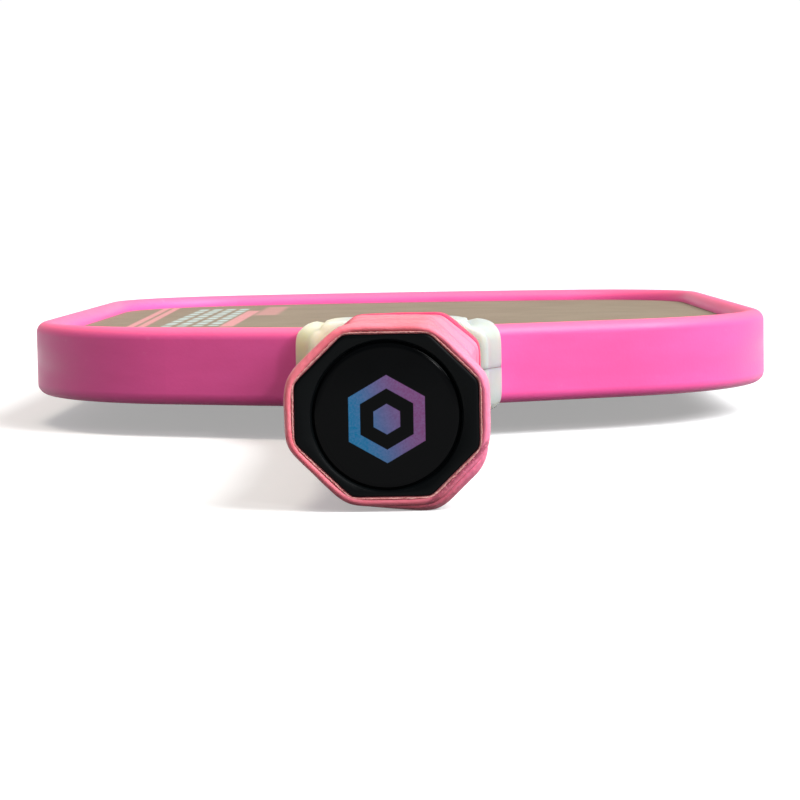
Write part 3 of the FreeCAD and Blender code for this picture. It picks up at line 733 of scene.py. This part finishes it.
def fringe():
    """The frayed pale backing of the strip, which shows as a thin uneven line round the cap."""
    rings = []
    for angle in full_turn(FRINGE_STEPS):
        spot = round_spot(angle, 40, 0.0)
        grow = 0.36 + 0.10 * noise.noise(spot) + 0.05 * noise.noise(spot * 3)
        thick = 0.15 + 0.07 * noise.noise(spot * 1.7)
        ring = []
        for bend in full_turn(FRINGE_SIDES):
            at = FRINGE_Y + thick * math.sin(bend)
            radius = octagon_radius(angle, CAP, grow + thick * math.cos(bend), 40, sunk_at(at))
            ring.append(at_angle(angle, radius, at))
        rings.append(ring)
    new_piece("wrap_fringe", *skin(rings, looped=True), fringe_material(), slot="overgrip")


TAB_START, TAB_END = math.radians(-128), math.radians(-12)
TAB_STEPS = 120
TAB_ROWS = 28
TAB_SOFTNESS = 22
TAB_FROM = 0.75  # from the butt's face
TAB_LONG, TAB_SHORT = 15.0, 6.0  # where the tab ends along the handle, at its two ends
TAB_THICK = 1.25


def strip_start():
    """The tapered start of the strip: a second layer at the butt's lower right that dies away at its ends."""
    turns = [step / TAB_STEPS for step in range(TAB_STEPS + 1)]
    outer_rows, inner_rows = [], []
    for row in range(TAB_ROWS + 1):
        share = row / TAB_ROWS
        edge = smooth(0.0, 0.12, share) * (1 - smooth(0.9, 1.0, share))
        outer_ring, inner_ring = [], []
        for turn in turns:
            angle = mix(TAB_START, TAB_END, turn)
            fade = smooth(0.0, 0.68, turn) * (1 - smooth(0.8, 1.0, turn))
            y = mix(TAB_FROM, mix(TAB_LONG, TAB_SHORT, turn), share)
            grow = 1.9 + TAB_THICK * fade * (0.35 + 0.65 * edge) - 0.3 * (1 - fade)
            grow += 0.5 * wrap_wobble(angle, y)
            radius = octagon_radius(angle, section_at(y), grow, TAB_SOFTNESS, sunk_at(y))
            outer_ring.append(at_angle(angle, radius, y))
            radius = octagon_radius(angle, section_at(y), CUSHION, TAB_SOFTNESS, sunk_at(y))
            inner_ring.append(at_angle(angle, radius, y + 0.1))
        outer_rows.append(outer_ring)
        inner_rows.append(inner_ring)
    verts, faces = skin(outer_rows + inner_rows[::-1], closed_round=False, looped=True)
    new_piece("overgrip_start", verts, faces, WRAP, slot="overgrip")


BAND_WIDTH = 10.0
LAP_FROM, LAP_TO = 0.6, 1.9  # radians, where the band's own end lies

# The finishing band's section: place along it, growth of the octagon.
BAND_PROFILE = (
    (0.0, 2.0),
    (0.0, 2.35),
    (0.25, 2.55),
    (0.8, 2.6),
    (3.0, 2.62),
    (5.0, 2.6),
    (7.5, 2.62),
    (9.3, 2.6),
    (9.85, 2.5),
    (BAND_WIDTH, 2.3),
    (BAND_WIDTH, 1.9),
)


def finishing_tape():
    """The elastic band that ends the strip, with its own overlapped end."""

    def lap(angle, y):
        overlap = smooth(LAP_FROM, LAP_FROM + 0.06, angle) * (1 - smooth(LAP_TO - 0.4, LAP_TO, angle))
        return 0.16 * overlap + 0.08 * noise.noise(round_spot(angle, 5, y * 0.8))

    start = GRIP_TOP - BAND_WIDTH
    rings = [handle_ring(start + offset, grow, wobble=lap) for offset, grow in BAND_PROFILE]
    material = wrap_material("finish_pink", "band", gloss=0.25, sheen=0.0)
    new_piece("finishing_band", *skin(rings, looped=True), material, "finishing_tape", slot="finishing_tape")


# ---------------------------------------------------------------- butt cap

CAP_STEPS = 256
CAP_SOFTNESS = 55
RECESS = 13.55  # radius of the badge's seat
BORE = 2.0  # radius at which the cap's two faces are joined, behind the badge
SEAT_Y = 1.3
FACE_Y = 0.1
FLOOR_Y = 3.0

# From the middle of the seat outwards, over the rim and back inside: place along the handle, share of the way
# from the round seat to the octagonal rim, growth of the rim, radius of the round seat.
CAP_RINGS = (
    (SEAT_Y, 0.0, 0.0, BORE),
    (SEAT_Y, 0.0, 0.0, RECESS - 0.25),
    (1.2, 0.0, 0.0, RECESS - 0.06),
    (1.0, 0.0, 0.0, RECESS),
    (0.75, 0.0, 0.0, RECESS),
    (0.6, 0.0, 0.0, RECESS + 0.06),
    (0.22, 0.0, 0.0, RECESS + 0.32),
    (0.13, 0.0, 0.0, RECESS + 0.4),
    (FACE_Y, 0.97, -0.56, RECESS),
    (FACE_Y, 1.0, -0.55, RECESS),
    (0.16, 1.0, -0.26, RECESS),
    (0.3, 1.0, -0.08, RECESS),
    (0.6, 1.0, 0.0, RECESS),
    (CAP_STRAIGHT, 1.0, 0.0, RECESS),
    (12.0, 1.0, 0.0, RECESS),
    (CAP_LENGTH, 1.0, 0.0, RECESS),
    (CAP_LENGTH, 1.0, -0.7, RECESS),
    (CAP_STRAIGHT, 1.0, -1.6, RECESS),
    (FLOOR_Y, 1.0, -2.2, RECESS),
    (FLOOR_Y, 0.0, 0.0, BORE),
)


def butt_cap():
    """The black cup: a round seat for the badge, a flat face, a rounded rim and a skirt under the wraps."""
    rings = []
    for y, share, grow, seat in CAP_RINGS:

        def radius_at(angle):
            rim = octagon_radius(angle, section_at(y), grow, CAP_SOFTNESS, sunk_at(y))
            return mix(seat, rim, share)

        rings.append(round_points(y, full_turn(CAP_STEPS), radius_at))
    new_piece("butt_cap_moulded", *skin(rings, looped=True), cap_material(), "butt_cap", slot="cap")


BADGE_STEPS = 192
BADGE_RADIUS = 13.2
BADGE_FACE = 0.02  # how far the badge's middle is from the butt's face
BADGE_BACK = 1.2
BADGE_DOME = 0.4
BADGE_EDGE = 0.9  # share of the radius at which the edge starts to roll off
BADGE_ROLL = 0.42  # how far the edge rolls off
ROLL_STEPS = 12


def badge_disc():
    """The glossy domed badge, its edge rolled off so that it catches the light."""
    profile = [(0.02, BADGE_FACE)]
    for share in (0.15, 0.3, 0.45, 0.6, 0.72, 0.82, BADGE_EDGE):
        profile.append((BADGE_RADIUS * share, BADGE_FACE + BADGE_DOME * share**2))
    low = BADGE_FACE + BADGE_DOME * BADGE_EDGE**2
    for step in range(1, ROLL_STEPS + 1):
        bend = math.pi / 2 * step / ROLL_STEPS
        reach = BADGE_RADIUS * (BADGE_EDGE + (1 - BADGE_EDGE) * math.sin(bend))
        rise = 0.1 * BADGE_DOME * step / ROLL_STEPS + BADGE_ROLL * (1 - math.cos(bend))
        profile.append((reach, low + rise))
    profile += [(BADGE_RADIUS, BADGE_BACK), (0.02, BADGE_BACK)]
    rings = []
    for reach, y in profile:
        rings.append(round_points(y, full_turn(BADGE_STEPS), lambda angle: reach))
    new_piece("badge_domed", *skin(rings, caps=True), badge_material(), "butt_badge", slot="badge")


# ---------------------------------------------------------------- throat collar

COLLAR_STEPS = 150
MOUTH = GRIP_END + 0.5
WING_END = SHOULDER_Y + 11.0
RIDGE_END = SHOULDER_Y + 21.5
SEAT = (16.5, 10.3, 10.5, 5.5)  # the octagon that the collar sits on
INSIDE = (12.0, 6.0)  # half width and half height of the hidden surface that closes each half
LOBE_MOUTH, LOBE_HEAD = (21.5, 10.4), (24.8, 11.1)  # half width and half height of the lobes at each end
RIDGE_MOUTH, RIDGE_HEAD = (18.0, 11.9), (12.5, HALF_PANEL + 0.5)
LOBE_TAPER = 10.0  # how far the lobes take to widen
LEFT_TRIM = 1.1  # how much slimmer the left lobe is than the right one
WING_FADE = 1.4  # how far the wings take to end
NOTCH_DEPTH = 1.5
NOTCH_ANGLE = math.atan2(10.9, 18.2)
NOTCH_SPREAD = 0.02  # radians
SEAM_GAP = 0.0015  # radians, left open at each side of a half
SEAM_ROLL, SEAM_SPREAD = 0.10, 0.010  # how deep and how wide the halves' edges are rolled off

# The rolled edge at the collar's mouth: place from the mouth, growth of the section.
MOUTH_ROLL = (
    (3.0, -5.4),
    (0.1, -5.2),
    (0.02, -3.0),
    (0.0, -1.6),
    (0.12, -0.8),
    (0.45, -0.28),
    (1.0, -0.04),
    (1.6, 0.0),
)


def box_radius(angle, half_width, half_height, softness):
    """Distance from the axis to a rectangle's outline with rounded corners."""
    across, up = abs(math.cos(angle)) / half_width, abs(math.sin(angle)) / half_height
    return (across**softness + up**softness) ** (-1 / softness)


def between(start, end, share):
    return (mix(a, b, share) for a, b in zip(start, end))


def collar_radius(angle, y):
    """Outside of the collar: a ridge in line with the handle, between two lobes, with a notch beside each."""
    lobe_side, lobe_high = between(LOBE_MOUTH, LOBE_HEAD, smooth(MOUTH, MOUTH + LOBE_TAPER, y))
    lobe_side -= LEFT_TRIM * smooth(0.0, 1.0, -math.cos(angle))
    lobe = box_radius(angle, lobe_side, lobe_high, 7)
    ridge_side, ridge_high = between(RIDGE_MOUTH, RIDGE_HEAD, smooth(SHOULDER_Y, RIDGE_END, y))
    ridge = box_radius(angle, ridge_side, ridge_high, 9)
    ended = smooth(WING_END - WING_FADE, WING_END, y)
    depth = NOTCH_DEPTH * (1 - ended) * smooth(MOUTH + 1, MOUTH + 5, y)
    outer = max(lobe, ridge)
    for centre in (NOTCH_ANGLE, math.pi - NOTCH_ANGLE, -NOTCH_ANGLE, NOTCH_ANGLE - math.pi):
        gap = math.remainder(angle - centre, TURN)
        outer -= depth * math.exp(-((gap / NOTCH_SPREAD) ** 2))
    return mix(outer, ridge, ended)


def collar_stations():
    """Places along the collar, from inside the mouth to the ridge's end, each with the section's growth."""
    stations = [(MOUTH + offset, sink) for offset, sink in MOUTH_ROLL]
    last = stations[-1][0]
    stations += [(last + step, 0.0) for step in range(1, 25)]
    y = stations[-1][0] + 0.5
    while y < RIDGE_END:
        stations.append((y, 0.0))
        y += 0.35
    return stations + [(RIDGE_END, 0.0)]


def collar_half(side, up):
    """One half shell, from seam to seam, with rolled edges at the mouth and along the seam."""
    half_width, half_height = INSIDE
    turns = [step / COLLAR_STEPS for step in range(COLLAR_STEPS + 1)]
    rings = []
    for y, sink in collar_stations():
        ring = []
        for turn in turns:
            angle = mix(SEAM_GAP, math.pi - SEAM_GAP, turn)
            edge = min(turn, 1 - turn) * math.pi
            roll = SEAM_ROLL * math.exp(-((edge / SEAM_SPREAD) ** 2))
            inner = octagon_radius(angle, SEAT, 0.1, CRISP)
            radius = max(collar_radius(angle, y) + sink - roll, inner)
            ring.append(place(radius * math.cos(angle), y, up * radius * math.sin(angle)))
        rings.append(ring)
    for y in (RIDGE_END, MOUTH + 3.0):
        ring = []
        for turn in turns:
            angle = math.pi * turn
            ring.append(place(half_width * math.cos(angle), y, up * half_height * math.sin(angle)))
        rings.append(ring)
    verts, faces = skin(rings, closed_round=False, looped=True)
    if up < 0:
        faces = [face[::-1] for face in faces]
    new_piece(f"collar_shell_{side}", verts, faces, COLLAR, f"throat_collar_{side}", slot="collar")


dress_nodes()
overgrip()
base_grip()
fringe()
strip_start()
finishing_tape()
butt_cap()
badge_disc()
collar_half("front", 1)
collar_half("back", -1)

# ---------------------------------------------------------------- stage, light and camera

FLOOR_REACH = 60.0
FLOOR_DARK, FLOOR_LIGHT = (0.68, 0.68, 0.68, 1), (0.72, 0.72, 0.72, 1)
FLOOR_LIFT = 0.35  # the floor's own light, which keeps its shadows pale


def floor():
    """A wide plain pale floor just under the paddle."""
    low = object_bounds()[0][2]
    corners = [(x * FLOOR_REACH, y * FLOOR_REACH, low) for x, y in ((-1, -1), (1, -1), (1, 1), (-1, 1))]
    mesh = bpy.data.meshes.new("floor")
    mesh.from_pydata(corners, [], [(0, 1, 2, 3)])
    plane = bpy.data.objects.new("floor", mesh)
    bpy.context.scene.collection.objects.link(plane)
    surface = Surface("floor_pale", 0.9, 0.1)
    surface.colour(surface.blend(surface.noise(3.0, 3.0), FLOOR_DARK, FLOOR_LIGHT))
    surface.shader.inputs["Emission Color"].default_value = (1.0, 1.0, 1.0, 1.0)
    surface.shader.inputs["Emission Strength"].default_value = FLOOR_LIFT
    mesh.materials.append(surface.material)
    plane.visible_diffuse = False
    plane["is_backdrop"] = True


def lamp(name, kind, energy, colour, spot, away):
    """A light at a spot, which shines against the direction away."""
    light = bpy.data.lights.new(name, kind)
    light.energy = energy
    light.color = colour
    item = bpy.data.objects.new(name, light)
    bpy.context.scene.collection.objects.link(item)
    item.location = spot
    item.rotation_euler = away.to_track_quat("Z", "Y").to_euler()
    return light


def area_light(name, spot, target, size, power, colour):
    """A round soft lamp at a spot, aimed at a target."""
    light = lamp(name, "AREA", power, colour, spot, Vector(spot) - Vector(target))
    light.shape = "DISK"
    light.size = size


def sun(name, toward, strength, spread, colour):
    """A distant soft light that comes from the direction toward."""
    light = lamp(name, "SUN", strength, colour, toward, Vector(toward))
    light.angle = math.radians(spread)


HORIZON, ZENITH, NADIR = 1.02, 0.34, 0.03  # how bright the surroundings are ahead, overhead and below
# How bright the surroundings are at the sine of each height.
HEIGHTS = ((-0.06, NADIR), (-0.02, HORIZON), (0.13, HORIZON), (0.28, ZENITH))
LEFT_SIDE = 0.6  # share of that brightness far to the left
LEFT_FADE = (-0.95, -0.3)


def surroundings():
    """A pale room: bright round the horizon, dimmer overhead and to the left."""
    world = bpy.data.worlds.new("studio")
    world.use_nodes = True
    tree = world.node_tree
    coords = tree.nodes.new("ShaderNodeTexCoord")
    parts = tree.nodes.new("ShaderNodeSeparateXYZ")
    halved = tree.nodes.new("ShaderNodeMath")
    halved.operation = "MULTIPLY_ADD"
    halved.inputs[1].default_value = 0.5
    halved.inputs[2].default_value = 0.5
    bands = tree.nodes.new("ShaderNodeValToRGB")
    while len(bands.color_ramp.elements) < len(HEIGHTS):
        bands.color_ramp.elements.new(0.5)
    for stop, (height, strength) in zip(bands.color_ramp.elements, HEIGHTS):
        stop.position = (height + 1) / 2
        stop.color = (strength, strength, strength, 1.0)
    dimmer = tree.nodes.new("ShaderNodeMapRange")
    for socket, value in zip(dimmer.inputs[1:5], (*LEFT_FADE, LEFT_SIDE, 1.0)):
        socket.default_value = value
    both = tree.nodes.new("ShaderNodeMath")
    both.operation = "MULTIPLY"
    background = tree.nodes["Background"]
    background.inputs["Color"].default_value = (1.0, 1.0, 1.0, 1.0)
    tree.links.new(coords.outputs["Generated"], parts.inputs[0])
    tree.links.new(parts.outputs[2], halved.inputs[0])
    tree.links.new(halved.outputs[0], bands.inputs[0])
    tree.links.new(parts.outputs[0], dimmer.inputs[0])
    tree.links.new(dimmer.outputs[0], both.inputs[0])
    tree.links.new(bands.outputs[0], both.inputs[1])
    tree.links.new(both.outputs[0], background.inputs["Strength"])
    bpy.context.scene.world = world


def studio():
    """The surroundings, a soft key from the right, a warm lamp overhead and a small one for glints."""
    surroundings()
    cool, warm, white = (0.98, 0.99, 1.0), (1.0, 0.92, 0.80), (1.0, 1.0, 1.0)
    sun("key_right", toward=(0.66, -0.33, 0.67), strength=4.8, spread=40, colour=cool)
    middle, butt = (0.0, -0.1, 0.02), (0.0, -0.2, 0.02)
    area_light("overhead", spot=(-0.18, -0.08, 0.8), target=middle, size=0.36, power=2.4, colour=warm)
    area_light("spark", spot=(0.45, -1.1, 0.42), target=butt, size=0.05, power=1.6, colour=white)
    bpy.context.scene.view_settings.view_transform = "Standard"


# Metres from the middle of the butt's face: to the right, back and up.
CAMERA_RIGHT, CAMERA_BACK, CAMERA_HIGH = 0.00798, 0.44088, 0.03586
YAW, PITCH, ROLL = -0.720, 4.286, -1.029  # degrees
SENSOR, LENS = 36.0, 110.72


def camera():
    """The camera at the photograph's view: just above the handle, looking along the paddle from the butt."""
    spot = Vector((CAMERA_RIGHT, BUTT_Y - CAMERA_BACK, AXIS_Z + CAMERA_HIGH))
    yaw, pitch, roll = math.radians(YAW), math.radians(PITCH), math.radians(ROLL)
    ahead = Vector((math.sin(yaw) * math.cos(pitch), math.cos(yaw) * math.cos(pitch), -math.sin(pitch)))
    level = Vector((math.cos(yaw), -math.sin(yaw), 0.0))
    above = level.cross(ahead)
    right = math.cos(roll) * level + math.sin(roll) * above
    up = -math.sin(roll) * level + math.cos(roll) * above
    data = bpy.data.cameras.new("camera")
    data.sensor_width = SENSOR
    data.lens = LENS
    data.clip_start = 0.01
    data.clip_end = 200.0
    item = bpy.data.objects.new("camera", data)
    bpy.context.scene.collection.objects.link(item)
    turn = Matrix((right, up, -ahead)).transposed().to_4x4()
    item.matrix_world = Matrix.Translation(spot) @ turn
    bpy.context.scene.camera = item


floor()
studio()
camera()

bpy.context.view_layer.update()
